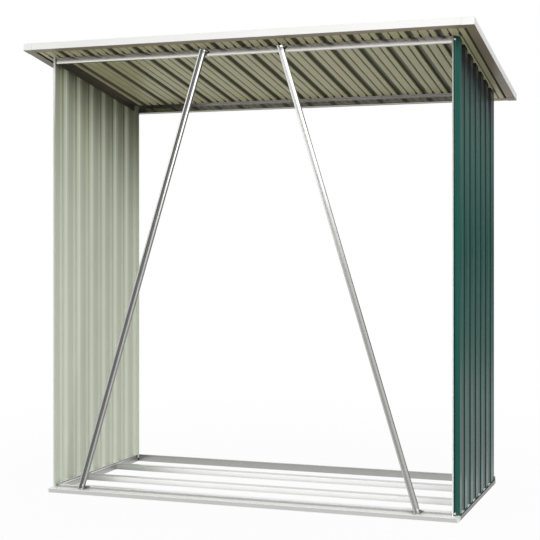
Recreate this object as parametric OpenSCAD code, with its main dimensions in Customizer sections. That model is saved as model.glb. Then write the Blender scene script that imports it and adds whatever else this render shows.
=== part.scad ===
// Open log store of folded sheet steel: a base frame, two ribbed side walls,
// a top frame, a ribbed roof that falls to the back, and two front braces.
// Millimetres, +Z up, front towards -Y, origin on the floor under the middle of the roof.

/* [Overall] */
// Height to the top of the front roof edge
height = 1712; // [1500:1:2200]
// Width of the roof over its edge trims
roof_w = 1720; // [1650:1:2400]
// Depth of the roof over its edge trims
roof_d = 930; // [905:1:1100]
// How far the back roof edge lies below the front one
roof_fall = 157; // [100:1:220]

/* [Base frame] */
// Width of the base frame over its lips
base_w = 1584; // [1400:1:1620]
// Depth of the base frame over its lips
base_d = 762; // [700:1:790]
// How far the roof reaches out in front of the base
front_overhang = 69; // [40:1:110]
// Sheet thickness of the rails
rail_t = 1.5; // [1:0.1:2.5]
// Height of the low outer lip of the base rails
lip_h = 15; // [10:0.5:19]
// Height of the front base rail behind its step
front_rail_h = 25; // [21:0.5:32]
// Height of the side and back base rails
rail_h = 29; // [24:0.5:40]
// Depth of the front rail's step
front_step = 42; // [33:0.5:55]
// Depth of the front rail's raised top
front_top = 22; // [14:0.5:40]
// Clearance between a side wall and the raised tops of the rails beside it
ledge_gap = 1; // [0.5:0.5:6]
// Width of the raised top of a side rail
side_top = 7; // [5:0.5:25]
// Depth of the back rail's step
back_step = 7; // [4:0.5:20]
// Depth of the back rail's raised top
back_top = 10; // [6:0.5:25]
// Width of the flange that a base rail rests on
foot_flange = 6; // [3:0.5:6]

/* [Floor rails] */
// Distance from the front lip to the first floor rail
floor_rail_start = 276; // [120:1:330]
// Distance from one floor rail to the next
floor_rail_step = 255; // [120:1:330]
// Height of a floor rail
floor_rail_h = 22; // [15:0.5:29]
// Width of a floor rail at its foot
floor_rail_w = 34; // [24:0.5:60]
// How far a side of a floor rail leans in between its foot and its top
floor_rail_lean = 5.5; // [1:0.5:8]

/* [Walls] */
// Distance from the base frame's lip in to the outer face of a side wall
wall_inset = 4; // [2:0.5:12]
// Sheet thickness of walls and roof
sheet_t = 1; // [0.6:0.1:1.5]
// Width of the fold that turns in from a rib at one edge of a wall
wall_return = 12; // [8:0.5:16]
// Width of the doubled lip at the end of that fold
wall_lip = 4.5; // [2:0.5:6]
// Depth of the groove between that lip and the rib
wall_groove = 6; // [3:0.5:12]
// Flat width between that fold and the first slope
wall_edge_flat = 2; // [1:0.5:8]
// Width of the fold that turns in at the other edge of a wall
wall_hem = 8; // [4:0.5:12]
// Depth of the wall ribs
wall_rib_depth = 12; // [6:0.5:14]
// Flat width of a wall rib
wall_rib_flat = 43; // [25:0.5:55]
// Width of the slope at each side of a wall rib
wall_rib_slope = 9; // [5:0.5:14]
// Distance from one wall rib to the next
wall_pitch = 106.5; // [95:0.5:140]
// Distance from the front edge to the middle of the first wall rib
wall_first_rib = 78; // [45:0.5:130]
// Width of the strip where two wall sheets lap
wall_lap = 14; // [8:0.5:16]

/* [Top frame] */
// Height of the front and side top rails
top_rail_h = 25; // [18:0.5:50]
// How far the foot of the front top rail's face lies behind its head, square to the roof
front_rail_lean = 2; // [0:0.5:4]
// Height of the back top rail
back_top_rail_h = 30; // [18:0.5:50]
// Width of the flange that the roof lies on
top_flange = 25; // [15:0.5:40]
// Width of the flange at the foot of the front and back top rails
low_flange = 9; // [5:0.5:15]

/* [Roof] */
// Distance from one roof rib to the next
roof_pitch = 103.5; // [80:0.5:130]
// Height of the roof ribs
roof_rib_h = 12; // [6:0.5:18]
// Width of a roof rib at its foot
roof_rib_foot = 26; // [20:0.5:30]
// Width of a roof rib at its crest
roof_rib_crest = 14; // [8:0.5:18]
// Height of the fine creases between the ribs
crease_h = 4; // [1:0.5:6]
// Width of a fine crease
crease_w = 9; // [5:0.5:12]
// Height of the roof edge trims
trim_h = 26; // [22:0.5:40]
// Width of the trim's lower flange
trim_flange = 33; // [20:0.5:40]
// Width of the trim's upper flange
trim_hem = 12; // [6:0.5:30]
// Sheet thickness of the trims and corner caps
trim_t = 1; // [0.6:0.1:1.5]
// Length of a corner cap along its long side
cap_long = 45; // [40:1:80]
// Length of a corner cap along its short side
cap_short = 30; // [20:0.5:60]

/* [Braces] */
// Distance between the back flanges of the two braces at their heads
brace_head_span = 297; // [200:1:600]
// Distance between the back flanges of the two braces at their feet
brace_foot_span = 1309; // [900:1:1400]
// Width of a brace's face
brace_w = 13.5; // [10:0.5:22]
// Depth of a brace's back flange, from the rails to the face
brace_back = 12; // [6:0.5:14]
// Depth of a whole brace, from the rails to the front of its front flange
brace_depth = 25; // [20:0.5:34]
// Width of the hem on the edge of the front flange
brace_hem = 3; // [2:0.5:5]
// Distance from the roof down to the highest corner of a brace
brace_drop = 1; // [0.5:0.5:10]

/* [Hidden] */

galvanised = "#b9bcb8";
wall_green = "#2f5750";
roof_green = "#34584f";
trim_white = "#f1f1ee";

// Places along Y: the base, the wall edges and the frame inside them
base_front = front_overhang - roof_d / 2;
base_back = base_front + base_d;
rail_front = base_front + front_step;
wall_fold = wall_groove + sheet_t + ledge_gap;
wall_front = rail_front - wall_fold;
wall_back = base_back - back_step - back_top;

// Places along X on the right-hand side
base_side = base_w / 2;
wall_side = base_side - wall_inset;
rib_side = wall_side - wall_rib_depth;
return_side = rib_side - wall_return;
hem_side = wall_side - wall_hem;
ledge_side = rib_side - sheet_t - ledge_gap;
inner_side = ledge_side - side_top;

// The roof's plane: it turns about X at its front lower edge
slope = atan(roof_fall / roof_d);
roof_l = (roof_d - (trim_h + trim_t) * sin(slope)) / cos(slope);
roof_front = trim_t * sin(slope) - roof_d / 2;
roof_foot = height - trim_h * cos(slope);
// Height of the underside of the roof sheets at a place along Y
function under_roof(y) = roof_foot + trim_t / cos(slope) - (y - roof_front) * tan(slope);

// Place down the slope, in the roof's own frame, of a point at a place along Y and a level there
function down_roof(y, level) = (y - roof_front - level * sin(slope)) / cos(slope);

// The top rails' faces in that frame, where the sheets lie at the trims' thickness
front_rail_foot = down_roof(wall_front, trim_t - top_rail_h);
front_rail_head = front_rail_foot - front_rail_lean;
back_rail_face = down_roof(wall_back, trim_t);

// The walls' ribs, as many as fit, and the place where the two sheets of a wall meet
wall_rib_half = wall_rib_flat / 2 + wall_rib_slope;
wall_edge = wall_groove + wall_edge_flat + wall_rib_slope;
wall_ribs = 1 + floor((wall_back - wall_front - wall_edge - wall_first_rib - wall_rib_half) / wall_pitch);
sheet_ribs = ceil(wall_ribs / 2);
function wall_rib_y(i) = wall_front + wall_first_rib + i * wall_pitch;
wall_seam = wall_rib_y(sheet_ribs) - wall_pitch / 2;

// The roof's ribs, as many as fit on both sides of one in the middle, and the ribs where sheets lap
roof_edge = roof_w / 2 - 2 * trim_t;
roof_half_ribs = floor((roof_edge - roof_rib_foot / 2) / roof_pitch);
roof_quarter_ribs = ceil(roof_half_ribs / 2);
roof_laps = [-roof_half_ribs, -roof_quarter_ribs, 0, roof_quarter_ribs, roof_half_ribs];
roof_sheets = len(roof_laps) - 1;
creases = 2;

// The braces' axes run from the front step up to the roof and lean towards each other
brace_head = under_roof(wall_front) - brace_drop;
brace_lean = atan((brace_foot_span - brace_head_span) / 2 / (brace_head - lip_h));
brace_l = (brace_head - lip_h) / cos(brace_lean);
brace_end = (brace_w + brace_hem) * tan(brace_lean);

// A block between two corners
module block(low, high) {
    translate(low)
        cube(high - low);
}

// A flat strip of the profile drawn in the Y and Z plane, pushed along X between two places
module along_x(x_low, x_high) {
    translate([x_low, 0, 0])
        rotate([90, 0, 90])
            linear_extrude(x_high - x_low)
                children();
}

// A profile drawn in the X and Z plane, pushed along Y between two places
module along_y(y_low, y_high) {
    translate([0, y_high, 0])
        rotate([90, 0, 0])
            linear_extrude(y_high - y_low)
                children();
}

// A rectangle between two corners
module panel(low, high) {
    translate(low)
        square(high - low);
}

// The left-hand twin of a right-hand piece
module left_hand() {
    mirror([1, 0, 0])
        children();
}

// The frame of the sloping roof: X across, Y down the slope, Z out of the roof
module on_roof() {
    translate([0, roof_front, roof_foot])
        rotate([-slope, 0, 0])
            children();
}

// Front base rail: a low step in front and a raised top between the side rails
module front_base_rail() {
    top_back = rail_front + front_top;
    color(galvanised)
    union() {
        along_x(-base_side, base_side) {
            panel([base_front, 0], [base_front + rail_t, lip_h]);
            panel([base_front, lip_h - rail_t], [rail_front, lip_h]);
        }
        for (end = [-base_side, base_side - rail_t])
            along_x(end, end + rail_t)
                panel([base_front, 0], [rail_front, lip_h]);
        along_x(-inner_side, inner_side) {
            panel([rail_front - rail_t, lip_h - rail_t], [rail_front, lip_h]);
            panel([rail_front, lip_h - rail_t], [rail_front + rail_t, front_rail_h]);
            panel([rail_front, front_rail_h - rail_t], [top_back, front_rail_h]);
            panel([top_back - rail_t, 0], [top_back, front_rail_h]);
            panel([top_back - rail_t - foot_flange, 0], [top_back, rail_t]);
        }
    }
}

// Outline of the back rail's end
module back_rail_end() {
    panel([base_back - back_step, 0], [base_back, lip_h]);
    panel([wall_back, 0], [base_back - back_step, rail_h]);
}

// Back base rail: the raised top lies inside, the lip runs along the back
module back_base_rail() {
    step_front = base_back - back_step;
    color(galvanised)
    union() {
        along_x(-base_side, base_side) {
            panel([base_back - rail_t, 0], [base_back, lip_h]);
            panel([step_front - rail_t, lip_h - rail_t], [base_back, lip_h]);
            panel([step_front - rail_t, lip_h - rail_t], [step_front, rail_h]);
            panel([wall_back, rail_h - rail_t], [step_front, rail_h]);
            panel([wall_back, 0], [wall_back + rail_t, rail_h]);
            panel([wall_back, 0], [wall_back + rail_t + foot_flange, rail_t]);
        }
        for (end = [-base_side, base_side - rail_t])
            along_x(end, end + rail_t)
                back_rail_end();
    }
}

// Side base rail on the right: a lip and a ledge for the wall, and a raised top between the wall's folds
module side_base_rail() {
    top_back = wall_back - wall_fold;
    union() {
        along_y(rail_front, wall_back) {
            panel([base_side - rail_t, 0], [base_side, lip_h]);
            panel([ledge_side - rail_t, lip_h - rail_t], [base_side, lip_h]);
        }
        along_y(rail_front, top_back) {
            panel([ledge_side - rail_t, lip_h - rail_t], [ledge_side, rail_h]);
            panel([inner_side, rail_h - rail_t], [ledge_side, rail_h]);
            panel([inner_side, 0], [inner_side + rail_t, rail_h]);
            panel([inner_side, 0], [inner_side + rail_t + foot_flange, rail_t]);
        }
        for (end = [rail_front, wall_back - rail_t])
            along_y(end, end + rail_t)
                panel([ledge_side - rail_t, 0], [base_side, lip_h]);
        for (end = [rail_front, top_back - rail_t])
            along_y(end, end + rail_t)
                panel([inner_side, 0], [ledge_side, rail_h]);
    }
}

module right_base_rail() {
    color(galvanised)
        side_base_rail();
}

module left_base_rail() {
    color(galvanised)
        left_hand()
            side_base_rail();
}

// Floor rail: an upturned channel with leaning sides between the side rails
module floor_rail(i) {
    front = base_front + floor_rail_start + i * floor_rail_step;
    back = front + floor_rail_w;
    top_front = front + floor_rail_lean;
    top_back = back - floor_rail_lean;
    along_x(-inner_side, inner_side)
        polygon([
            [front, 0],
            [top_front, floor_rail_h],
            [top_back, floor_rail_h],
            [back, 0],
            [back - rail_t, 0],
            [top_back - rail_t, floor_rail_h - rail_t],
            [top_front + rail_t, floor_rail_h - rail_t],
            [front + rail_t, 0]
        ]);
}

module front_floor_rail() {
    color(galvanised)
        floor_rail(0);
}

module back_floor_rail() {
    color(galvanised)
        floor_rail(1);
}

// Points of the outer face of a wall over one rib, front to back, as [y, x]
function wall_rib_line(c) = [
    [c - wall_rib_half, wall_side],
    [c - wall_rib_flat / 2, rib_side],
    [c + wall_rib_flat / 2, rib_side],
    [c + wall_rib_half, wall_side]
];

// Points of a run of wall ribs
function wall_rib_run(first, last) = [for (i = [first : last]) each wall_rib_line(wall_rib_y(i))];

// Plan of a ribbed sheet whose outer face follows the points
module wall_plan(line) {
    outer = [for (p = line) [p[1], p[0]]];
    inner = [for (i = [len(line) - 1 : -1 : 0]) [line[i][1] - sheet_t, line[i][0]]];
    polygon(concat(outer, inner));
}

// A wall sheet from the base ledge up to the slope of the roof
module wall_sheet() {
    top = under_roof(wall_front);
    spare = 2 * roof_fall;
    difference() {
        translate([0, 0, lip_h])
            linear_extrude(top - lip_h)
                children();
        along_x(return_side - wall_return, wall_side + wall_return)
            polygon([
                [wall_front - spare, under_roof(wall_front - spare)],
                [wall_back + spare, under_roof(wall_back + spare)],
                [wall_back + spare, height + spare],
                [wall_front - spare, height + spare]
            ]);
    }
}

// Plan of the fold at a ribbed front edge: a groove and a lip that stands out from it
module edge_lip() {
    groove = wall_front + wall_groove;
    panel([return_side, wall_front], [return_side + wall_lip, groove + sheet_t]);
    panel([return_side, groove], [rib_side, groove + sheet_t]);
}

// Front sheet of a wall on the right, whose edge ends in a rib or in a plain hem
module wall_front_half(ribbed_edge) {
    edge = ribbed_edge
        ? [
            [wall_front + wall_groove, rib_side],
            [wall_front + wall_edge - wall_rib_slope, rib_side],
            [wall_front + wall_edge, wall_side]
        ]
        : [[wall_front, wall_side]];
    wall_sheet() {
        wall_plan(concat(edge, wall_rib_run(0, sheet_ribs - 1), [[wall_seam, wall_side]]));
        if (ribbed_edge)
            edge_lip();
        else
            panel([hem_side, wall_front], [wall_side, wall_front + sheet_t]);
    }
}

// Back sheet of a wall on the right: its front edge laps inside the front sheet
module wall_back_half(ribbed_edge) {
    lap = [
        [wall_seam - wall_lap, wall_side - sheet_t],
        [wall_seam, wall_side - sheet_t],
        [wall_seam + sheet_t, wall_side]
    ];
    edge = ribbed_edge
        ? [
            [wall_back - wall_edge, wall_side],
            [wall_back - wall_edge + wall_rib_slope, rib_side],
            [wall_back - wall_groove, rib_side]
        ]
        : [[wall_back, wall_side]];
    wall_sheet() {
        wall_plan(concat(lap, wall_rib_run(sheet_ribs, wall_ribs - 1), edge));
        if (ribbed_edge)
            translate([0, wall_front + wall_back])
                mirror([0, 1])
                    edge_lip();
        else
            panel([hem_side, wall_back - sheet_t], [wall_side, wall_back]);
    }
}

// The right wall ends in a rib at its front and the left wall at its back
module right_wall_front_sheet() {
    color(wall_green)
        wall_front_half(true);
}

module right_wall_back_sheet() {
    color(wall_green)
        wall_back_half(false);
}

module left_wall_front_sheet() {
    color(wall_green)
        left_hand()
            wall_front_half(false);
}

module left_wall_back_sheet() {
    color(wall_green)
        left_hand()
            wall_back_half(true);
}

// Front top rail: it hangs from the roof between the walls, with its lower edge at the braces
module front_top_rail() {
    foot = trim_t - top_rail_h;
    color(galvanised)
        on_roof()
            along_x(-rib_side + sheet_t, return_side)
                polygon([
                    [front_rail_head, trim_t],
                    [front_rail_head + top_flange, trim_t],
                    [front_rail_head + top_flange, trim_t - rail_t],
                    [front_rail_head + rail_t, trim_t - rail_t],
                    [front_rail_foot + rail_t, foot + rail_t],
                    [front_rail_foot + low_flange, foot + rail_t],
                    [front_rail_foot + low_flange, foot],
                    [front_rail_foot, foot]
                ]);
}

// Back top rail: it stands square to the roof and faces the back
module back_top_rail() {
    foot = trim_t - back_top_rail_h;
    color(galvanised)
        on_roof()
            along_x(-return_side, rib_side - sheet_t) {
                panel([back_rail_face - rail_t, foot], [back_rail_face, trim_t]);
                panel([back_rail_face - top_flange, trim_t - rail_t], [back_rail_face, trim_t]);
                panel([back_rail_face - low_flange, foot], [back_rail_face, foot + rail_t]);
            }
}

// Side top rail on the right: it runs down the slope against the wall's ribs
module side_top_rail() {
    side = rib_side - sheet_t;
    on_roof()
        along_y(front_rail_head + top_flange, back_rail_face - top_flange) {
            panel([side - rail_t, trim_t - top_rail_h], [side, trim_t]);
            panel([side - top_flange, trim_t - rail_t], [side, trim_t]);
        }
}

module right_top_rail() {
    color(galvanised)
        side_top_rail();
}

module left_top_rail() {
    color(galvanised)
        left_hand()
            side_top_rail();
}

// Section of a brace: a face between a back flange on its right and a hemmed front flange on its left
module brace_section() {
    panel([-rail_t, -brace_back], [0, 0]);
    panel([-brace_w, -brace_back], [0, rail_t - brace_back]);
    panel([-brace_w, -brace_depth], [rail_t - brace_w, rail_t - brace_back]);
    panel([-brace_w - brace_hem, -brace_depth], [rail_t - brace_w, rail_t - brace_depth]);
}

// Brace that stands on the front step and leans to a side, with square ends
module brace(foot_x, lean) {
    start = lean < 0 ? brace_end : 0;
    translate([foot_x, wall_front, lip_h])
        rotate([0, lean, 0])
            translate([0, 0, start])
                linear_extrude(brace_l - brace_end)
                    brace_section();
}

module right_brace() {
    color(galvanised)
        brace(brace_foot_span / 2, -brace_lean);
}

module left_brace() {
    color(galvanised)
        brace(-brace_foot_span / 2, brace_lean);
}

// Points of the underside of a roof rib, left to right
function roof_rib_line(c, lift) = [
    [c - roof_rib_foot / 2, lift],
    [c - roof_rib_crest / 2, roof_rib_h + lift],
    [c + roof_rib_crest / 2, roof_rib_h + lift],
    [c + roof_rib_foot / 2, lift]
];

// Points of the fine creases between a rib and the next one
function crease_line(c) = [
    for (i = [1 : creases])
        let (m = c + i * roof_pitch / (creases + 1))
        each [[m - crease_w / 2, 0], [m, crease_h], [m + crease_w / 2, 0]]
];

// Section of a roof sheet whose underside follows the points
module roof_section(line) {
    top = [for (i = [len(line) - 1 : -1 : 0]) line[i] + [0, sheet_t]];
    polygon(concat(line, top));
}

// Roof sheet: its first rib laps over the last rib of the sheet to its left
module roof_sheet(i) {
    first = roof_laps[i];
    last = roof_laps[i + 1];
    c = first * roof_pitch;
    start = i == 0
        ? concat([[-roof_edge, 0]], roof_rib_line(c, 0))
        : concat(roof_rib_line(c, sheet_t), [[c + roof_rib_foot / 2 + sheet_t, 0]]);
    middle = [for (k = [first + 1 : last]) each concat(
        crease_line((k - 1) * roof_pitch),
        roof_rib_line(k * roof_pitch, 0)
    )];
    end = i == roof_sheets - 1 ? [[roof_edge, 0]] : [];
    color(roof_green)
        on_roof()
            translate([0, 0, trim_t])
                along_y(2 * trim_t, roof_l - 2 * trim_t)
                    roof_section(concat(start, middle, end));
}

// Section of a roof trim, out from its outer face at zero
module trim_section() {
    panel([0, 0], [trim_t, trim_h]);
    panel([0, 0], [trim_flange, trim_t]);
    panel([0, trim_h - trim_t], [trim_hem, trim_h]);
}

// Front trim, across the whole roof
module front_roof_trim() {
    color(trim_white)
        on_roof()
            translate([0, trim_t, 0])
                along_x(trim_t - roof_w / 2, roof_w / 2 - trim_t)
                    trim_section();
}

// Back trim, across the whole roof
module back_roof_trim() {
    color(trim_white)
        on_roof()
            translate([0, roof_l - trim_t, 0])
                mirror([0, 1, 0])
                    along_x(trim_t - roof_w / 2, roof_w / 2 - trim_t)
                        trim_section();
}

// Side trim on the left, between the flanges of the front and back trims
module side_trim() {
    reach = trim_t + trim_flange;
    on_roof()
        translate([trim_t - roof_w / 2, 0, 0])
            along_y(reach, roof_l - reach)
                trim_section();
}

module left_roof_trim() {
    color(trim_white)
        side_trim();
}

module right_roof_trim() {
    color(trim_white)
        left_hand()
            side_trim();
}

// Corner cap at the roof's front left: it covers the trims' faces and lower flanges
module corner_cap(across, along) {
    block([0, 0, -trim_t], [trim_t, along, trim_h]);
    block([0, 0, -trim_t], [across, trim_t, trim_h]);
    block([0, 0, -trim_t], [trim_flange, along, 0]);
    block([0, 0, -trim_t], [across, trim_flange, 0]);
}

// The four caps are one piece turned: each long side meets the next cap's short side
module front_left_roof_cap() {
    color(trim_white)
        on_roof()
            translate([-roof_w / 2, 0, 0])
                corner_cap(cap_short, cap_long);
}

module front_right_roof_cap() {
    color(trim_white)
        left_hand()
            on_roof()
                translate([-roof_w / 2, 0, 0])
                    corner_cap(cap_long, cap_short);
}

module back_left_roof_cap() {
    color(trim_white)
        on_roof()
            translate([-roof_w / 2, roof_l, 0])
                mirror([0, 1, 0])
                    corner_cap(cap_long, cap_short);
}

module back_right_roof_cap() {
    color(trim_white)
        left_hand()
            on_roof()
                translate([-roof_w / 2, roof_l, 0])
                    mirror([0, 1, 0])
                        corner_cap(cap_short, cap_long);
}

front_base_rail();
back_base_rail();
left_base_rail();
right_base_rail();
front_floor_rail();
back_floor_rail();
left_wall_front_sheet();
left_wall_back_sheet();
right_wall_front_sheet();
right_wall_back_sheet();
front_top_rail();
back_top_rail();
left_top_rail();
right_top_rail();
left_brace();
right_brace();
roof_sheet(0);  // roof_sheet_1
roof_sheet(1);  // roof_sheet_2
roof_sheet(2);  // roof_sheet_3
roof_sheet(3);  // roof_sheet_4
front_roof_trim();
back_roof_trim();
left_roof_trim();
right_roof_trim();
front_left_roof_cap();
front_right_roof_cap();
back_left_roof_cap();
back_right_roof_cap();
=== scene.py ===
import math

import bpy
from mathutils import Matrix, Vector


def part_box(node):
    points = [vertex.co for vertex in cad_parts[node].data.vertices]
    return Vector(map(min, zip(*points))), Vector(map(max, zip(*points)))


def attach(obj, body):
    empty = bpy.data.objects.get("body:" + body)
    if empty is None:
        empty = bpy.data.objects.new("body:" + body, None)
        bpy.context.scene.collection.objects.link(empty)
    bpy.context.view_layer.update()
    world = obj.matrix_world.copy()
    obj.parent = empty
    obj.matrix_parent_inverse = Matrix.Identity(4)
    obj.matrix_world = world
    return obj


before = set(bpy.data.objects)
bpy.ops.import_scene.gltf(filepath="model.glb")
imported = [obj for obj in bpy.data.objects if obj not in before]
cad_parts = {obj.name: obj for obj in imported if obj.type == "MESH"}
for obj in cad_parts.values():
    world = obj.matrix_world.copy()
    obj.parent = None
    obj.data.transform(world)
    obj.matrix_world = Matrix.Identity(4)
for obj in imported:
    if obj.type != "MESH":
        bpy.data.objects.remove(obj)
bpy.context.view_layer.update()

# Base frame: folded galvanised rails that lie on the ground, with two floor rails between
# them. The zinc is satin, with faint crystals and streaks, and each rail's grey is set to how
# brightly it is lit, which is painted light. Tops and the front corner carry painted
# highlights, the front step and the ledges under the walls are painted white for the light
# from above, the floor rails' sides are painted paler for their sheen, and the side rails'
# inner faces are painted paler for their light. Painted shade darkens the front riser, the
# floor rails' fronts at the foot and the top edge, and the side rails' inner faces by the
# hems.
class Wire:
    """A socket in a node tree, for use in Python sums."""

    def __init__(self, tree, socket=None):
        self.tree = tree
        self.socket = socket

    def node(self, kind, settings=None, inputs=None, output=0):
        made = self.tree.nodes.new(kind)
        for name, value in (settings or {}).items():
            if name == "stops":
                for at, shade in value[1:-1]:
                    made.color_ramp.elements.new(at)
                for stop, (at, shade) in zip(made.color_ramp.elements, value):
                    stop.color = (shade, shade, shade, 1)
            else:
                setattr(made, name, value)
        for key, value in (inputs or {}).items():
            if isinstance(value, Wire):
                self.tree.links.new(value.socket, made.inputs[key])
            else:
                made.inputs[key].default_value = value
        return Wire(self.tree, made.outputs[output] if made.outputs else None)

    def maths(self, operation, *values):
        return self.node("ShaderNodeMath", {"operation": operation}, dict(enumerate(values)))

    def __add__(self, other):
        return self.maths("ADD", self, other)

    __radd__ = __add__

    def __sub__(self, other):
        return self.maths("SUBTRACT", self, other)

    def __rsub__(self, other):
        return self.maths("SUBTRACT", other, self)

    def __mul__(self, other):
        return self.maths("MULTIPLY", self, other)

    __rmul__ = __mul__

    def __gt__(self, other):
        return self.maths("GREATER_THAN", self, other)

    def __lt__(self, other):
        return self.maths("LESS_THAN", self, other)

    def __abs__(self):
        return self.maths("ABSOLUTE", self)


def start_finish(name):
    finish = bpy.data.materials.new(name)
    finish.use_nodes = True
    finish.node_tree.nodes.clear()
    return finish, Wire(finish.node_tree)


def place_on(wire):
    """A place on a piece, in the store's own frame."""
    return wire.node("ShaderNodeTexCoord", output="Object")


def parts_of(wire, vector):
    return [wire.node("ShaderNodeSeparateXYZ", {}, {0: vector}, axis) for axis in range(3)]


def facing_on(wire):
    """How far a surface looks along X, Y and Z."""
    return parts_of(wire, wire.node("ShaderNodeNewGeometry", output="Normal"))


def blend(wire, low, high, share):
    return wire.node("ShaderNodeMix", {"data_type": "RGBA"}, {0: share, 6: low, 7: high}, 2)


def cloud(wire, place, lumps, detail=3.0):
    """Soft noise from 0 to 1, with so many lumps per metre along X, Y and Z."""
    stretched = wire.node(
        "ShaderNodeVectorMath", {"operation": "MULTIPLY"}, {0: place, 1: lumps}
    )
    return wire.node(
        "ShaderNodeTexNoise", {}, {"Vector": stretched, "Scale": 1.0, "Detail": detail}
    )


def rounded_folds(wire, radius, samples):
    return wire.node("ShaderNodeBevel", {"samples": samples}, {"Radius": radius})


def bumps(wire, height, strength, depth, normal):
    return wire.node(
        "ShaderNodeBump",
        {},
        {"Strength": strength, "Distance": depth, "Height": height, "Normal": normal},
    )


def dress(finish, *nodes):
    for node in nodes:
        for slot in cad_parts[node].material_slots:
            slot.material = finish


CRYSTALS = 85.0
TARNISH = (5, 5, 9)
ZINC_STREAKS = (3, 3, 260)
DENTS = (30, 30, 30)
LEAST_LIGHT = 0.2
TARNISH_LIGHT = 0.5
CRYSTAL_LIGHT = 0.15
STREAK_LIGHT = 0.15
TARNISH_ROUGH = 0.08
CRYSTAL_ROUGH = 0.02
MARK_ROUGH = 0.12


def zinc_finish(name, dark, light, rough, marks=(), rim=1.0):
    """Galvanised steel from a dark to a light grey, with marks of other greys on it.

    A mark has a grey, a shine that says how metallic it is, the share of the zinc that it
    covers, and a function that says where it is, from a place and the way it faces there.
    The rim is the brightness of faces seen almost edge-on."""
    finish, wire = start_finish(name)
    place = place_on(wire)
    crystal = wire.node(
        "ShaderNodeSeparateColor",
        {},
        {
            0: wire.node(
                "ShaderNodeTexVoronoi", {}, {"Vector": place, "Scale": CRYSTALS}, "Color"
            )
        },
    )
    tarnish = cloud(wire, place, TARNISH)
    streak = cloud(wire, place, ZINC_STREAKS, detail=2.0)
    lightness = (
        LEAST_LIGHT + TARNISH_LIGHT * tarnish + CRYSTAL_LIGHT * crystal + STREAK_LIGHT * streak
    )
    colour = blend(wire, dark, light, lightness)
    rough = rough + TARNISH_ROUGH * tarnish + CRYSTAL_ROUGH * crystal
    at = parts_of(wire, place)
    facing = facing_on(wire)
    metal = 1.0
    for mark in marks:
        cover = mark["share"] * mark["where"](at, facing)
        colour = blend(wire, colour, mark["grey"], cover)
        rough = rough + MARK_ROUGH * cover
        metal = metal - cover * (metal - mark["shine"])
    folds = rounded_folds(wire, radius=0.0012, samples=8)
    dents = cloud(wire, place, DENTS, detail=1.0)
    steel = wire.node(
        "ShaderNodeBsdfPrincipled",
        {},
        {
            "Base Color": colour,
            "Metallic": metal,
            "Roughness": rough,
            "Specular Tint": (rim, rim, rim, 1),
            "Normal": bumps(wire, dents, strength=0.1, depth=0.0005, normal=folds),
        },
    )
    wire.node("ShaderNodeOutputMaterial", {}, {"Surface": steel})
    return finish


# Greys for painted light and shade on the zinc: white and bright for lit tops and highlights,
# pale for light on the side rails' inner faces, the next for sheen on the floor rails' sides,
# and the riser's grey and the last for painted shade.
ZINC_WHITE = (0.93, 0.93, 0.92, 1)
ZINC_BRIGHT = (0.86, 0.86, 0.85, 1)
ZINC_PALE = (0.58, 0.58, 0.575, 1)
ZINC_SHEEN = (0.59, 0.59, 0.585, 1)
ZINC_RISER = (0.34, 0.34, 0.335, 1)
ZINC_SHADE = (0.2, 0.2, 0.195, 1)
SQUARE_ON = 0.7
LEANING = 0.5
CORNER = 0.004
STEP = 0.03
HEM_HEIGHT = 0.006
HEM_BELOW = 0.0025
RAIL_HEM = 0.0035
EDGE_LINE = 0.0024
base_low, base_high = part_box("front_base_rail")
side_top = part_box("left_base_rail")[1].z
floor_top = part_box("front_floor_rail")[1].z


def upper_face(at, facing):
    return facing[2] > SQUARE_ON


def front_step(at, facing):
    return upper_face(at, facing) * (at[1] < base_low.y + STEP + 3 * CORNER)


def front_corner(at, facing):
    return (at[0] * at[0] > (base_high.x - CORNER) ** 2) * (at[1] < base_low.y + CORNER)


def front_riser(at, facing):
    below_hem = (at[1] > base_low.y + STEP) * (at[2] < base_high.z - RAIL_HEM)
    return (facing[1] < -SQUARE_ON) * below_hem


def wall_ledge(at, facing):
    return upper_face(at, facing) * (at[0] * at[0] < (base_high.x - CORNER) ** 2)


def inner_face(at, facing):
    return at[0] * facing[0] < -LEANING


def beside_hem(at, facing):
    return inner_face(at, facing) * (at[2] > side_top - HEM_HEIGHT - 2 * HEM_BELOW)


def leaning_side(at, facing):
    return facing[1] * facing[1] > LEANING ** 2


def front_foot(at, facing):
    low = 1.0 - at[2] * (1 / floor_top)
    return (facing[1] < -LEANING) * low * low


def front_edge(at, facing):
    return (facing[1] < -LEANING) * (at[2] > floor_top - EDGE_LINE)


front_zinc = zinc_finish(
    "front_zinc",
    dark=(0.51, 0.51, 0.50, 1),
    light=(0.60, 0.60, 0.585, 1),
    rough=0.18,
    marks=(
        # Painted highlights on the tops and the front corner, painted white light on the step,
        # and painted shade on the riser.
        dict(grey=ZINC_BRIGHT, shine=0.4, share=0.85, where=upper_face),
        dict(grey=ZINC_WHITE, shine=0.1, share=1.0, where=front_step),
        dict(grey=ZINC_BRIGHT, shine=0.5, share=0.8, where=front_corner),
        dict(grey=ZINC_RISER, shine=0.35, share=0.85, where=front_riser),
    ),
)
dress(front_zinc, "front_base_rail")
back_zinc = zinc_finish(
    "back_zinc",
    dark=(0.36, 0.36, 0.345, 1),
    light=(0.43, 0.43, 0.415, 1),
    rough=0.18,
    # Painted highlight on the tops.
    marks=(dict(grey=ZINC_BRIGHT, shine=1.0, share=0.85, where=upper_face),),
)
dress(back_zinc, "back_base_rail")
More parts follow.
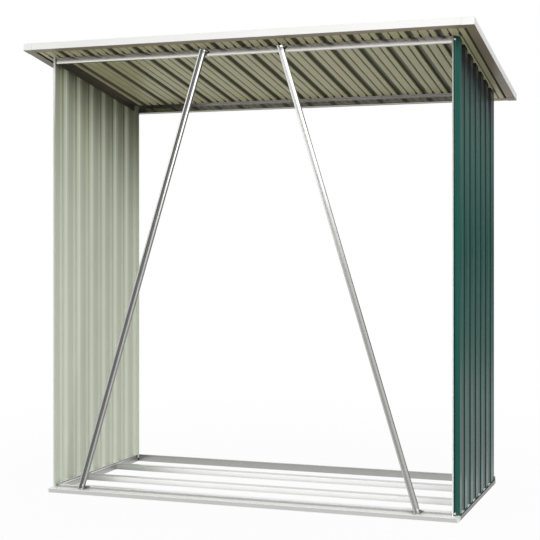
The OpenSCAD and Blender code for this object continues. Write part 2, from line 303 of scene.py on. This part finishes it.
floor_zinc = zinc_finish(
    "floor_zinc",
    dark=(0.30, 0.30, 0.295, 1),
    light=(0.36, 0.36, 0.35, 1),
    rough=0.18,
    marks=(
        # Painted highlight on the tops, painted sheen on the sides, and painted shade at the
        # feet and along the top edges of the fronts.
        dict(grey=ZINC_BRIGHT, shine=0.6, share=0.65, where=upper_face),
        dict(grey=ZINC_SHEEN, shine=0.45, share=0.9, where=leaning_side),
        dict(grey=ZINC_SHADE, shine=1.0, share=0.5, where=front_foot),
        dict(grey=ZINC_SHADE, shine=1.0, share=0.5, where=front_edge),
    ),
)
dress(floor_zinc, "front_floor_rail", "back_floor_rail")
side_zinc = zinc_finish(
    "side_zinc",
    dark=(0.31, 0.305, 0.295, 1),
    light=(0.38, 0.375, 0.36, 1),
    rough=0.2,
    marks=(
        # Painted white light on the ledge, painted light on the inner face, and painted shadow
        # beside the hem.
        dict(grey=ZINC_WHITE, shine=0.1, share=1.0, where=wall_ledge),
        dict(grey=ZINC_PALE, shine=1.0, share=0.65, where=inner_face),
        dict(grey=ZINC_SHADE, shine=1.0, share=0.85, where=beside_hem),
    ),
    rim=0.55,
)
dress(side_zinc, "left_base_rail", "right_base_rail")

# Side rail hems: the inner edge of each side rail is folded back on itself, which leaves a
# rounded strip of zinc along the top of its inner face, painted lighter as a painted
# highlight.
HEM_THICKNESS = 0.0016
HEM_SHORT = 0.03
HEM_STAND = 0.4
HEM_ROUND = 0.35


def join_up(copies, name, finish, crease):
    """One zinc piece of joined meshes, smooth but for folds sharper than the crease."""
    bpy.ops.object.select_all(action="DESELECT")
    for copy in copies:
        copy.select_set(True)
    bpy.context.view_layer.objects.active = copies[0]
    bpy.ops.object.join()
    piece = bpy.context.object
    piece.name = name
    piece.data.materials.append(finish)
    bpy.ops.object.shade_smooth_by_angle(angle=math.radians(crease))
    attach(piece, "root")


strips = []
for rail, inner, side in (("left_base_rail", 1, 1), ("right_base_rail", 0, -1)):
    rail_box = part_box(rail)
    length = rail_box[1].y - rail_box[0].y - HEM_SHORT
    middle = (
        rail_box[inner].x + side * HEM_THICKNESS * HEM_STAND,
        rail_box[0].y + length / 2,
        rail_box[1].z - HEM_BELOW - HEM_HEIGHT / 2,
    )
    bpy.ops.object.select_all(action="DESELECT")
    bpy.ops.mesh.primitive_cube_add(size=1)
    strip = bpy.context.object
    strip.data.transform(
        Matrix.Translation(middle) @ Matrix.Diagonal((HEM_THICKNESS, length, HEM_HEIGHT, 1))
    )
    bpy.ops.object.mode_set(mode="EDIT")
    bpy.ops.mesh.select_all(action="SELECT")
    bpy.ops.mesh.bevel(offset=HEM_THICKNESS * HEM_ROUND, segments=2)
    bpy.ops.object.mode_set(mode="OBJECT")
    strips.append(strip)
# The hem's zinc is painted lighter than the rail's, a painted highlight.
hem_zinc = zinc_finish(
    "hem_zinc", dark=(0.62, 0.62, 0.61, 1), light=(0.74, 0.74, 0.73, 1), rough=0.2
)
join_up(strips, "side_hems", hem_zinc, crease=40)

# Side walls: two ribbed sheets each, of thin steel that stands on the base ledge. The outside
# has glossy green paint, with a painted grey sheen for reflections on the ribs' slopes and
# painted shade on their outer parts, in the front groove and under the roof. The inside has a
# pale back coat, painted lighter and darker along each rib for the light and shade on its
# faces, with a painted olive shade up high under the roof.
GREEN_DEEP = (0.0072, 0.070, 0.056, 1)
GREEN_PALE = (0.0125, 0.092, 0.074, 1)
# A painted shade of the green.
GREEN_SHADE = (0.004, 0.034, 0.027, 1)
# The pale coat from its painted shade to its painted light along the ribs.
WALL_COAT_DARK = (0.50, 0.53, 0.445, 1)
WALL_COAT_LIGHT = (0.80, 0.845, 0.72, 1)
# Painted light colours: a grey sheen for reflections, then after the hem's white the shade in
# the roof's ribs, the shade under the eaves, and the olive shade inside under the roof.
GREY_SHEEN = (0.22, 0.22, 0.21, 1)
HEM = (0.88, 0.89, 0.86, 1)
SHADE_IN_RIBS = (0.026, 0.026, 0.014, 1)
SHADE_UNDER_EAVES = (0.010, 0.010, 0.013, 1)
OLIVE = (0.125, 0.128, 0.06, 1)
DUST = (0.34, 0.33, 0.29, 1)
BLOTCHES = (9, 9, 9)
BLOTCH_SHARE = 0.6
SHEET_WAVES = (7, 7, 4)
PAINT_PEEL = (380, 380, 380)
PEEL_DEPTH = 0.0003
DUST_HEIGHT = 0.22
DUST_SHARE = 0.06
DUST_ROUGH = 0.15
COAT_ROUGH = 0.3
GREEN_SMOOTH = 0.14
STREAK_ROUGH = 0.08


def ramp(wire, share, stops):
    """Shades at places along a share from 0 to 1, the first at 0 and the last at 1."""
    return wire.node("ShaderNodeValToRGB", {"stops": stops}, {0: share})


def fade(wire, value, start, end, first=1.0, last=0.0):
    """A number that goes from the first to the last as the value goes from start to end."""
    return wire.node("ShaderNodeMapRange", {}, {0: value, 1: start, 2: end, 3: first, 4: last})


def weather(wire, place, run):
    """Blotches, streaks along a sheet, and a mix of the two, each from 0 to 1."""
    blotch = cloud(wire, place, BLOTCHES)
    streak = cloud(wire, place, run, detail=2.0)
    return blotch, streak, BLOTCH_SHARE * blotch + (1 - BLOTCH_SHARE) * streak


def painted_sheet(wire, place, worn, outside, green, coat, painted_shade):
    """Green paint where outside is 1 and the pale coat where it is 0, with painted shade on
    top.
    """
    blotch, streak = worn[:2]
    low = fade(wire, parts_of(wire, place)[2], 0.0, DUST_HEIGHT)
    clean = blend(wire, coat, green, outside)
    dusty = blend(wire, clean, DUST, low * blotch * DUST_SHARE)
    # Painted shade: dark in the roof's ribs below, and under the eaves outside.
    colour = blend(wire, dusty, blend(wire, SHADE_IN_RIBS, SHADE_UNDER_EAVES, outside), painted_shade)
    rough = COAT_ROUGH - GREEN_SMOOTH * outside + STREAK_ROUGH * streak
    folds = rounded_folds(wire, radius=0.002, samples=4)
    waves = cloud(wire, place, SHEET_WAVES)
    wavy = bumps(wire, waves, strength=0.3, depth=0.004, normal=folds)
    peel = cloud(wire, place, PAINT_PEEL, detail=2.0)
    sheet = wire.node(
        "ShaderNodeBsdfPrincipled",
        {},
        {
            "Base Color": colour,
            "Roughness": rough + DUST_ROUGH * low * blotch,
            "Specular IOR Level": 0.12,
            "Normal": bumps(wire, peel, strength=0.12, depth=PEEL_DEPTH, normal=wavy),
        },
    )
    wire.node("ShaderNodeOutputMaterial", {}, {"Surface": sheet})


wall_low, wall_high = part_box("right_wall_front_sheet")
lap_low, lap_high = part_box("right_wall_back_sheet")
roof_fall = (wall_high.z - lap_high.z) / (lap_low.y - wall_low.y)
WALL_STREAKS = (40, 40, 1.2)
FACES_OUT = 0.02
FACES_ALONG = 0.002
SLOPED = 0.7
LIP_WIDTH = 0.0045
lip_side = wall_low.x + LIP_WIDTH
WALL_RIB_STEP = 0.1065
FIRST_WALL_RIB = 0.078
WALL_RIB_HALF = 0.0305
EDGE_DEPTH = 0.0045
GROOVE_SHADE = 0.004
PLAIN_EDGE = 0.32
HEM_WHITE = 0.05
HEM_CLEAN = 0.3
EAVES_REACH = 1.6
FOLD_SHADING = 0.45
END_STRIP = 0.026
COAT_MOTTLE = 0.3
FULL_EAVES_SHADE = 1.45
# Painted light and shade across one rib of the inside.
RIB_SHADING = (
    (0, 0.32),
    (0.045, 0.32),
    (0.055, 0),
    (0.08, 0),
    (0.09, 0.7),
    (0.33, 1),
    (0.36, 0.58),
    (0.48, 0.54),
    (0.6, 0.4),
    (1, 0.4),
)
# Painted shade under the roof, inside and then outside, and the painted grey sheen up the
# wall.
INNER_EAVES = (0, 0.66), (0.06, 0.6), (0.2, 0.37), (0.35, 0.21), (0.55, 0.1), (1, 0)
OUTER_EAVES = (0, 1), (0.035, 0.95), (0.06, 0.6), (0.12, 0.2), (0.2, 0), (1, 0)
SHEEN_BY_HEIGHT = (0, 0.65), (0.15, 0.55), (0.35, 0.22), (0.6, 0.1), (0.85, 0.25), (1, 0.25)

wall_paint, wire = start_finish("wall_paint")
place = place_on(wire)
x, y, z = parts_of(wire, place)
across, along = facing_on(wire)[:2]
worn = weather(wire, place, WALL_STREAKS)
mixed = worn[2]
facing_out = x * across > FACES_OUT
ribbed = y * y < PLAIN_EDGE ** 2
below_roof = wall_high.z + roof_fall * wall_low.y - roof_fall * y - z
eaves = below_roof * (1 / EAVES_REACH)

end_on = across * across < FACES_ALONG
outer_end = end_on * (along * y > 0.0)
folded_end = outer_end * (x * y < 0.0)
groove = folded_end * (x * x > lip_side ** 2)
lip = folded_end * (x * x < lip_side ** 2)
hem = outer_end * (x * y > 0.0)

sunk = wall_high.x - abs(x)
slope = facing_out * (across * across < SLOPED) * ribbed
# Painted grey sheen for reflections on the deeper parts of the rib slopes, set by height.
sheen = slope * (sunk > EDGE_DEPTH) * ramp(wire, z * (1 / wall_high.z), SHEEN_BY_HEIGHT)
# Painted shade on the outer parts of the rib slopes and in the groove beside the lip.
shaded = slope * (sunk < EDGE_DEPTH) + groove * (x * x < (lip_side + GROOVE_SHADE) ** 2)
paint = blend(wire, GREEN_DEEP, GREEN_PALE, mixed)
green = blend(wire, blend(wire, paint, GREY_SHEEN, sheen), GREEN_SHADE, shaded)
# Painted shade under the roof on the outside.
eaves_shade = ramp(wire, eaves, OUTER_EAVES) * facing_out * ribbed

# Painted light and shade along the ribs of the inside, even on the ends, with random mottle.
rib_run = (y - (wall_low.y + FIRST_WALL_RIB - WALL_RIB_HALF)) * (1 / WALL_RIB_STEP)
rib_shading = ramp(wire, wire.maths("FRACT", rib_run), RIB_SHADING)
even = end_on + (1.0 - end_on) * (y > lap_high.y - END_STRIP)
rib_shading = rib_shading * (1.0 - even) + FOLD_SHADING * even
shading_and_mottle = rib_shading + COAT_MOTTLE * mixed - COAT_MOTTLE / 2
pale = blend(wire, WALL_COAT_DARK, WALL_COAT_LIGHT, shading_and_mottle)
# Painted olive shade under the roof on the inside, less where the ribs are painted lighter.
inner_eaves_shade = ramp(wire, eaves, INNER_EAVES) * (FULL_EAVES_SHADE - rib_shading)
shaded_coat = blend(wire, blend(wire, pale, HEM, lip * (x > 0.0)), OLIVE, inner_eaves_shade)
coat = blend(wire, shaded_coat, HEM, hem * fade(wire, wall_high.z - z, HEM_WHITE, HEM_CLEAN))
painted_sheet(wire, place, worn, facing_out + groove, green, coat, eaves_shade)
dress(
    wall_paint,
    "left_wall_front_sheet",
    "left_wall_back_sheet",
    "right_wall_front_sheet",
    "right_wall_back_sheet",
)

# Top frame: galvanised rails under the roof, between and against the walls, held by the wall
# and roof screws. Their zinc is painted darker than that of the base as painted shade, the
# side rails' darkest of all.
# Painted shade: the front and back rails' zinc is a darker grey.
top_zinc = zinc_finish(
    "top_zinc", dark=(0.25, 0.24, 0.225, 1), light=(0.33, 0.32, 0.305, 1), rough=0.12
)
dress(top_zinc, "front_top_rail", "back_top_rail")
# Painted shade: a very dark brown-grey zinc on the side rails.
shaded_zinc = zinc_finish(
    "shaded_zinc", dark=(0.11, 0.10, 0.075, 1), light=(0.16, 0.145, 0.115, 1), rough=0.3
)
dress(shaded_zinc, "left_top_rail", "right_top_rail")

# Braces: folded galvanised strips that lean from the front step to the roof, each with a
# flange to the back and a hemmed one to the front. The zinc is smooth, with a painted
# highlight on the upper side, painted shade on the lower, and painted shade on the front hem
# towards the roof.
LOW_BRIGHT = 0.25
HIGH_SHADE = 0.7
TILTED = 0.15
brace_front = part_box("left_brace")[0].y


def lower_side(at, facing):
    return facing[2] < -TILTED


def upper_side(at, facing):
    return (facing[2] > TILTED) * (at[2] - LOW_BRIGHT)


def front_hem(at, facing):
    high = (at[2] > HIGH_SHADE) * (at[2] - HIGH_SHADE)
    return high * (facing[1] < -SQUARE_ON) * (at[1] < brace_front + CORNER / 2)


brace_zinc = zinc_finish(
    "brace_zinc",
    dark=(0.42, 0.42, 0.415, 1),
    light=(0.51, 0.51, 0.50, 1),
    rough=0.14,
    marks=(
        # Painted shade below, a painted highlight above, and painted shade high on the front
        # hem.
        dict(grey=ZINC_SHADE, shine=1.0, share=1.0, where=lower_side),
        dict(grey=ZINC_BRIGHT, shine=1.0, share=0.6, where=upper_side),
        dict(grey=ZINC_SHADE, shine=1.0, share=0.8, where=front_hem),
    ),
)
dress(brace_zinc, "left_brace", "right_brace")

# Roof: four ribbed sheets that lap on their ribs and fall to the back. The top has the walls'
# green paint. Below, painted shade darkens the pale coat in the ribs and in the two creases
# between them, and most where the creases cross the top rails.
ROOF_COAT_DARK = (0.60, 0.57, 0.34, 1)
ROOF_COAT_LIGHT = (0.72, 0.69, 0.42, 1)
ROOF_STREAKS = (40, 1.2, 40)
RIB_PITCH = 0.1035
RIB_HALF = 0.013
RIB_BLUR = 0.002
RIB_SHADE = 0.8
CREASE_HALF = 0.003
CREASE_CORE = 0.6
CREASE_SHADE = 0.75
GAP_HALF = 0.0045
GAP_LENGTH = 0.02

roof_paint, wire = start_finish("roof_paint")
place = place_on(wire)
x, y = parts_of(wire, place)[:2]
up = facing_on(wire)[2]
from_rib = wire.maths("PINGPONG", x, RIB_PITCH / 2)
from_crease = abs(from_rib - RIB_PITCH / 3)
# Painted shade in the ribs, in the creases and where the creases cross the top rails.
in_rib = fade(wire, from_rib, RIB_HALF - RIB_BLUR, RIB_HALF, first=RIB_SHADE)
in_crease = fade(wire, from_crease, CREASE_HALF * CREASE_CORE, CREASE_HALF, first=CREASE_SHADE)
in_gap = 0.0
for rail in ("front_top_rail", "back_top_rail"):
    rail_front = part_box(rail)[0].y
    at_rail = (y > rail_front - GAP_LENGTH) * (y < rail_front + GAP_LENGTH)
    in_gap = at_rail * (from_crease < GAP_HALF) + in_gap
worn = weather(wire, place, ROOF_STREAKS)
paint = blend(wire, GREEN_DEEP, GREEN_PALE, worn[2])
coat = blend(wire, ROOF_COAT_DARK, ROOF_COAT_LIGHT, worn[2])
painted_shade = (in_rib + in_crease + in_gap) * (up < 0.0)
painted_sheet(wire, place, worn, up > 0.0, paint, coat, painted_shade)
dress(roof_paint, "roof_sheet_1", "roof_sheet_2", "roof_sheet_3", "roof_sheet_4")

# Roof trims: folded strips of white-painted sheet round the roof's edge, with a cap over each
# corner. Their downward faces are painted taupe as painted shade, and dirt marks the front
# caps' seams.
WHITE = (0.84, 0.84, 0.835, 1)
WHITE_WORN = (0.78, 0.78, 0.77, 1)
TAUPE = (0.38, 0.31, 0.215, 1)
GRIME = (6, 6, 30)
TRIM_ROUGH = 0.3
GRIME_ROUGH = 0.12
SEAM_HALF = 0.0014
LEFT_SEAM_DIRT = 0.25
RIGHT_SEAM_DIRT = 0.08

trim_paint, wire = start_finish("trim_paint")
place = place_on(wire)
x = parts_of(wire, place)[0]
up = facing_on(wire)[2]
grime = cloud(wire, place, GRIME)
seam = 0.0
for cap, end, dirt in (
    ("front_left_roof_cap", 1, LEFT_SEAM_DIRT),
    ("front_right_roof_cap", 0, RIGHT_SEAM_DIRT),
):
    from_seam = abs(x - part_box(cap)[end].x)
    seam = (from_seam < SEAM_HALF) * dirt + seam
white = blend(wire, blend(wire, WHITE, WHITE_WORN, grime), TAUPE, seam)
folds = rounded_folds(wire, radius=0.0015, samples=4)
peel = cloud(wire, place, PAINT_PEEL, detail=2.0)
trim = wire.node(
    "ShaderNodeBsdfPrincipled",
    {},
    {
        # Downward faces are painted taupe, a painted shade.
        "Base Color": blend(wire, white, TAUPE, up < -LEANING),
        "Roughness": TRIM_ROUGH + GRIME_ROUGH * grime,
        "Specular IOR Level": 0.15,
        "Normal": bumps(wire, peel, strength=0.1, depth=PEEL_DEPTH, normal=folds),
    },
)
wire.node("ShaderNodeOutputMaterial", {}, {"Surface": trim})
dress(
    trim_paint,
    "front_roof_trim",
    "back_roof_trim",
    "left_roof_trim",
    "right_roof_trim",
    "front_left_roof_cap",
    "front_right_roof_cap",
    "back_left_roof_cap",
    "back_right_roof_cap",
)

# Wall and roof screws: zinc-plated, each with a hexagon head on a dished washer. They go
# through the bottoms of the wall ribs and the wall folds into the rails, and through the roof
# beside its ribs.
SCREW_FLATS = 0.0055
SCREW_HEAD = 0.0035
HEXAGON = 6
WASHER_RIM = 0.0008
WASHER_DISH = 0.0006
WASHER_SIDES = 16
WASHER_SPREAD = 0.8
DISH_WIDTH = 0.3
CHAMFER_WIDTH = 0.12
CHAMFER_RISE = 0.08
HAIR = 1e-5


def pick_faces(piece, chosen):
    """Leave the piece in edit mode with only the chosen faces selected."""
    bpy.ops.object.mode_set(mode="EDIT")
    bpy.ops.mesh.select_mode(type="FACE")
    bpy.ops.mesh.select_all(action="DESELECT")
    bpy.ops.object.mode_set(mode="OBJECT")
    for face in piece.data.polygons:
        face.select = chosen(face)
    bpy.ops.object.mode_set(mode="EDIT")


def washer_and_head(flats, head, sides):
    """A dished washer on the floor of its own frame, with a chamfered head on it.

    It is left in edit mode with the top of the head selected."""
    rim = flats * WASHER_SPREAD
    top = WASHER_RIM + WASHER_DISH + head
    bpy.ops.object.select_all(action="DESELECT")
    bpy.ops.mesh.primitive_cylinder_add(
        vertices=WASHER_SIDES, radius=rim, depth=WASHER_RIM, location=(0, 0, WASHER_RIM / 2)
    )
    model = bpy.context.object
    bpy.ops.object.transform_apply(location=True)
    pick_faces(model, lambda face: face.normal.z > SQUARE_ON)
    bpy.ops.mesh.inset(thickness=rim * DISH_WIDTH, depth=WASHER_DISH)
    bpy.ops.mesh.primitive_cylinder_add(
        vertices=sides,
        radius=flats / 2 / math.cos(math.pi / sides),
        depth=top,
        location=(0, 0, top / 2),
    )
    pick_faces(model, lambda face: face.center.z > top - HAIR)
    bpy.ops.mesh.inset(thickness=flats * CHAMFER_WIDTH, depth=flats * CHAMFER_RISE)
    return model


def set_out(model, name, places, finish):
    """One piece of joined copies of a model, each at its place and facing its own way."""
    bpy.ops.object.mode_set(mode="OBJECT")
    copies = []
    for place, facing in places:
        copy = model.copy()
        copy.data = model.data.copy()
        turn = Vector(facing).to_track_quat("Z", "Y").to_matrix().to_4x4()
        copy.data.transform(Matrix.Translation(place) @ turn)
        bpy.context.collection.objects.link(copy)
        copies.append(copy)
    bpy.data.objects.remove(model)
    join_up(copies, name, finish, crease=35)


def roof_height(y):
    """Height of the underside of the roof at a place along Y."""
    return wall_high.z - roof_fall * (y - wall_low.y)


screw_zinc = zinc_finish(
    "screw_zinc", dark=(0.52, 0.52, 0.50, 1), light=(0.66, 0.66, 0.64, 1), rough=0.2
)
WALL_RIB_DEPTH = 0.012
WALL_RIBS = 6
GROOVE_DEPTH = 0.006
LOW_SCREW = 0.022
SCREW_BELOW_ROOF = 0.013

rib_side = wall_high.x - WALL_RIB_DEPTH
wall_places = []
for rib in range(WALL_RIBS):
    y = wall_low.y + FIRST_WALL_RIB + rib * WALL_RIB_STEP
    for z in (LOW_SCREW, roof_height(y) - SCREW_BELOW_ROOF):
        for side in (1, -1):
            wall_places.append(((side * rib_side, y, z), (side, 0, 0)))
fold_middle = (lip_side + rib_side) / 2
for side, edge in ((1, wall_low.y), (-1, lap_high.y)):
    fold = edge + side * GROOVE_DEPTH
    for z in (LOW_SCREW, roof_height(edge) - SCREW_BELOW_ROOF):
        wall_places.append(((side * fold_middle, fold, z), (0, -side, 0)))
wall_screw = washer_and_head(SCREW_FLATS, SCREW_HEAD, HEXAGON)
set_out(wall_screw, "wall_screws", wall_places, screw_zinc)

SHEET_THICKNESS = 0.001
ROOF_PANS = 16
roof_up = Vector((0, roof_fall, 1)).normalized()
roof_places = []
for rail in ("front_top_rail", "back_top_rail"):
    rail_low, rail_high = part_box(rail)
    y = (rail_low.y + rail_high.y) / 2
    z = roof_height(y) + SHEET_THICKNESS / roof_up.z
    for pan in range(ROOF_PANS):
        x = (pan - ROOF_PANS / 2 + 0.5) * RIB_PITCH
        roof_places.append(((x, y, z), roof_up))
roof_screw = washer_and_head(SCREW_FLATS, SCREW_HEAD, HEXAGON)
set_out(roof_screw, "roof_screws", roof_places, screw_zinc)

# Brace bolts: zinc-plated. At each end of a brace a round-headed bolt goes through its face,
# and a dull nut on a bolt's end stands on the side of its back flange.
BRACE_HEAD_SPAN = 0.297
BRACE_FOOT_SPAN = 1.309
BRACE_FACE = 0.012
BRACE_MIDDLE = 0.006
BOLT_IN = 0.014
BOLT_FLATS = 0.007
BOLT_HEAD = 0.001
BOLT_SIDES = 16
DOME_RISE = 0.05
NUT_IN = 0.008
NUT_FLATS = 0.009
NUT_HEIGHT = 0.0045
NUT_WALL = 0.1
BOLT_TAIL = 0.003

step_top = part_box("left_brace")[0].z
brace_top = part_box("left_brace")[1].z
bolt_places = []
nut_places = []
for side in (1, -1):
    foot = Vector((side * BRACE_FOOT_SPAN / 2, wall_low.y, step_top))
    head = Vector((side * BRACE_HEAD_SPAN / 2, wall_low.y, brace_top))
    lean = (head - foot).normalized()
    outward = Vector((lean.z, 0, -lean.x))
    for end, inward in ((foot, lean), (head, -lean)):
        face = end + inward * BOLT_IN - outward * BRACE_MIDDLE
        bolt_places.append((face - Vector((0, BRACE_FACE, 0)), (0, -1, 0)))
        flange = end + inward * NUT_IN
        nut_places.append((flange - Vector((0, BRACE_FACE / 2, 0)), outward))

bolt = washer_and_head(BOLT_FLATS, BOLT_HEAD, BOLT_SIDES)
bpy.ops.mesh.inset(thickness=BOLT_FLATS * CHAMFER_WIDTH, depth=BOLT_FLATS * DOME_RISE)
set_out(bolt, "brace_bolts", bolt_places, screw_zinc)
nut = washer_and_head(NUT_FLATS, NUT_HEIGHT, HEXAGON)
bpy.ops.mesh.inset(thickness=NUT_FLATS * NUT_WALL)
bpy.ops.mesh.extrude_region_move(TRANSFORM_OT_translate={"value": (0, 0, BOLT_TAIL)})
nut_zinc = zinc_finish(
    "nut_zinc", dark=(0.12, 0.12, 0.115, 1), light=(0.2, 0.2, 0.19, 1), rough=0.3
)
set_out(nut, "brace_nuts", nut_places, nut_zinc)

# Studio: a plain pale floor that keeps the object's soft shadow, white all round for the
# camera and for reflections, a soft lamp, and a bright panel that only reflections see.
FLOOR_SIDE = 60
FLOOR_DROP = 0.0005
FLOOR_GREY = (0.42, 0.42, 0.41, 1)
SHADOW_NEAR = 0.7
SHADOW_FAR = 3.0
NEAR_GLOW = 0.965
ROOM_WHITE = (1, 1, 1, 1)
ROOM_LIGHT = 0.6


def seen_directly(wire):
    """1 for what the camera sees, straight or in metal and glass, and 0 for other light."""
    camera_ray, glossy_ray, clear_ray = [
        wire.node("ShaderNodeLightPath", output=ray)
        for ray in ("Is Camera Ray", "Is Glossy Ray", "Is Transmission Ray")
    ]
    return wire.node(
        "ShaderNodeMath",
        {"operation": "ADD", "use_clamp": True},
        {0: camera_ray, 1: glossy_ray + clear_ray},
    )


bpy.ops.object.select_all(action="DESELECT")
bpy.ops.mesh.primitive_plane_add(size=FLOOR_SIDE, location=(0, 0, -FLOOR_DROP))
floor = bpy.context.object
floor.name = "floor"
floor_paint, wire = start_finish("floor_paint")
away = wire.node(
    "ShaderNodeVectorMath", {"operation": "LENGTH"}, {0: place_on(wire)}, "Value"
)
glowing = fade(wire, away, SHADOW_NEAR, SHADOW_FAR, first=NEAR_GLOW, last=1.0)
diffuse = wire.node("ShaderNodeBsdfDiffuse", {}, {"Color": FLOOR_GREY})
glow = wire.node("ShaderNodeEmission", {}, {"Color": ROOM_WHITE, "Strength": 1.0})
floor_mix = wire.node(
    "ShaderNodeMixShader", {}, {0: seen_directly(wire) * glowing, 1: diffuse, 2: glow}
)
wire.node("ShaderNodeOutputMaterial", {}, {"Surface": floor_mix})
floor.data.materials.append(floor_paint)

world = bpy.data.worlds.new("studio")
bpy.context.scene.world = world
world.use_nodes = True
world.node_tree.nodes.clear()
wire = Wire(world.node_tree)
room = wire.node(
    "ShaderNodeBackground",
    {},
    {
        "Color": ROOM_WHITE,
        "Strength": ROOM_LIGHT + (1 - ROOM_LIGHT) * seen_directly(wire),
    },
)
wire.node("ShaderNodeOutputWorld", {}, {"Surface": room})


def soft_panel(name, place, target, width, height, brightness):
    """A lamp that is a bright panel, so many times as bright as white."""
    bpy.ops.object.light_add(type="AREA", location=place)
    lamp = bpy.context.object
    lamp.name = name
    lamp.data.shape = "RECTANGLE"
    lamp.data.size = width
    lamp.data.size_y = height
    lamp.data.energy = brightness * math.pi * width * height
    lamp.visible_camera = False
    lamp.rotation_euler = (Vector(target) - Vector(place)).to_track_quat("-Z", "Y").to_euler()
    return lamp


key_panel = soft_panel(
    "key_panel",
    place=(5.4, -6.8, 4.8),
    target=(-0.6, 0, 0.6),
    width=4.8,
    height=3.5,
    brightness=11.4,
)
key_panel.visible_glossy = False
front_panel = soft_panel(
    "front_panel",
    place=(-2.0, -6.0, 3.0),
    target=(-0.9, 0, 1.0),
    width=7.1,
    height=3.4,
    brightness=2.4,
)
front_panel.visible_diffuse = False

# Grey flag: a card that lies behind the store's right-hand corner and folds up, which only
# reflections see, so that the glossy paint of the wall keeps its depth.
FLAG_MIDDLE = 1.75
FLAG_WIDTH = 1.7
FLAG_FRONT = 0.4
FLAG_BACK = 3.0
FLAG_LIFT = 0.001
FLAG_HEIGHT = 3.2
FLAG_SHADES = (0, 0.5), (0.04, 0.4), (0.1, 0.26), (0.28, 0.1), (0.5, 0.27), (1, 0.3)

bpy.ops.object.select_all(action="DESELECT")
bpy.ops.mesh.primitive_plane_add(size=1)
flag = bpy.context.object
flag.name = "grey_flag"
flag.data.transform(
    Matrix.Translation((FLAG_MIDDLE, (FLAG_FRONT + FLAG_BACK) / 2, FLAG_LIFT))
    @ Matrix.Diagonal((FLAG_WIDTH, FLAG_BACK - FLAG_FRONT, 1, 1))
)
bpy.ops.object.mode_set(mode="EDIT")
bpy.ops.mesh.select_mode(type="EDGE")
bpy.ops.mesh.select_all(action="DESELECT")
bpy.ops.object.mode_set(mode="OBJECT")
for line in flag.data.edges:
    line.select = all(flag.data.vertices[end].co.y > FLAG_BACK - HAIR for end in line.vertices)
bpy.ops.object.mode_set(mode="EDIT")
bpy.ops.mesh.extrude_region_move(TRANSFORM_OT_translate={"value": (0, 0, FLAG_HEIGHT)})
bpy.ops.object.mode_set(mode="OBJECT")
flag_paint, wire = start_finish("flag_paint")
rise = parts_of(wire, place_on(wire))[2]
shade = ramp(wire, rise * (1 / FLAG_HEIGHT), FLAG_SHADES)
flag_glow = wire.node("ShaderNodeEmission", {}, {"Color": shade, "Strength": 1.0})
wire.node("ShaderNodeOutputMaterial", {}, {"Surface": flag_glow})
flag.data.materials.append(flag_paint)
flag.visible_camera = False
flag.visible_diffuse = False
flag.visible_shadow = False
flag.visible_transmission = False

# Camera: level, in front of the store and a little to its right, with its lens moved down so
# that the uprights stay parallel.
CAMERA_PLACE = (1.6315, -4.6549, 0.9543)
CAMERA_TURN = 19.652
PHOTO_SIDE = 540
LENS_PIXELS = 1259.64
SENSOR = 36
HORIZON_ROW = 243.11
bpy.ops.object.camera_add(
    location=CAMERA_PLACE, rotation=(math.pi / 2, 0, math.radians(CAMERA_TURN))
)
camera = bpy.context.object
camera.name = "camera"
camera.data.sensor_width = SENSOR
camera.data.lens = LENS_PIXELS / PHOTO_SIDE * SENSOR
camera.data.shift_y = (HORIZON_ROW - PHOTO_SIDE / 2) / PHOTO_SIDE
bpy.context.scene.camera = camera
bpy.context.scene.view_settings.view_transform = "Standard"
